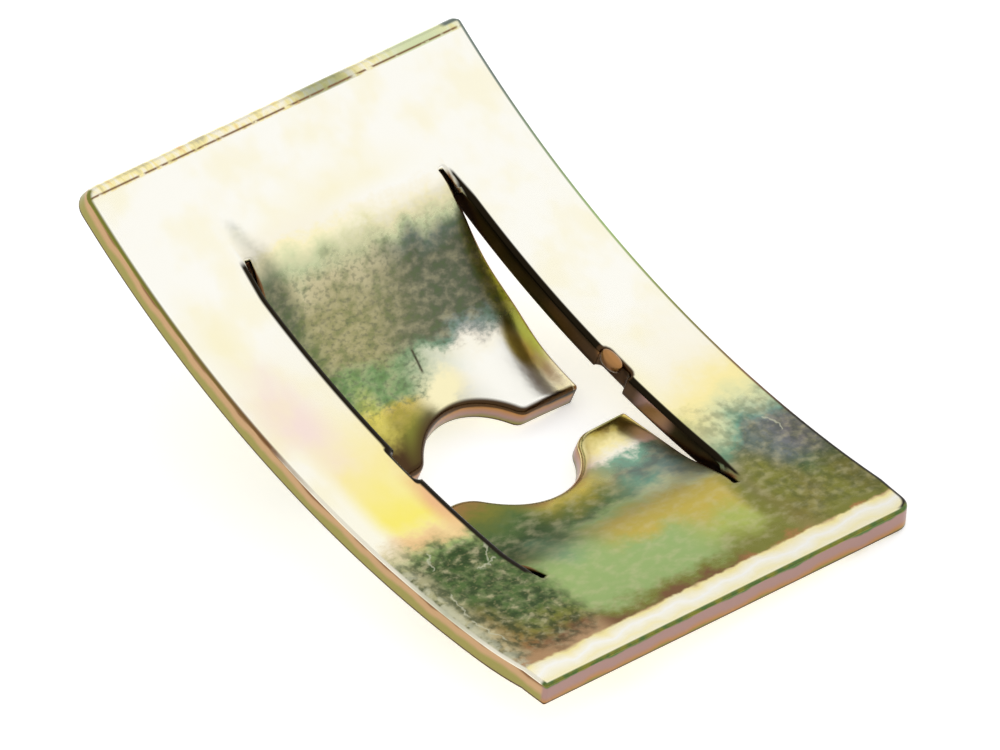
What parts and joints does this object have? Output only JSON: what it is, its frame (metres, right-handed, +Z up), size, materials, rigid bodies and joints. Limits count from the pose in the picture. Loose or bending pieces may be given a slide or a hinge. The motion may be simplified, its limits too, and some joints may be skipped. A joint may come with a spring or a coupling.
{
  "type": "spire nut",
  "caption": "Flat spring-steel speed nut: an arched rectangular sheet with two lanced tongues bent down, whose notched toes grip a screw.",
  "frame": {"origin": "centre of the bounding box's bottom, on the surface that the nut rests on", "axes": "+X along the sheet towards its near end, +Y across it to the right, +Z up, on the hollow side"},
  "size_m": [0.015, 0.0111, 0.0057],
  "materials": {
    "plated_steel": "yellow-passivated zinc on spring steel, iridescent, satin"
  },
  "bodies": {
    "root": {"spire_nut": "plated_steel"}
  },
  "joints": []
}
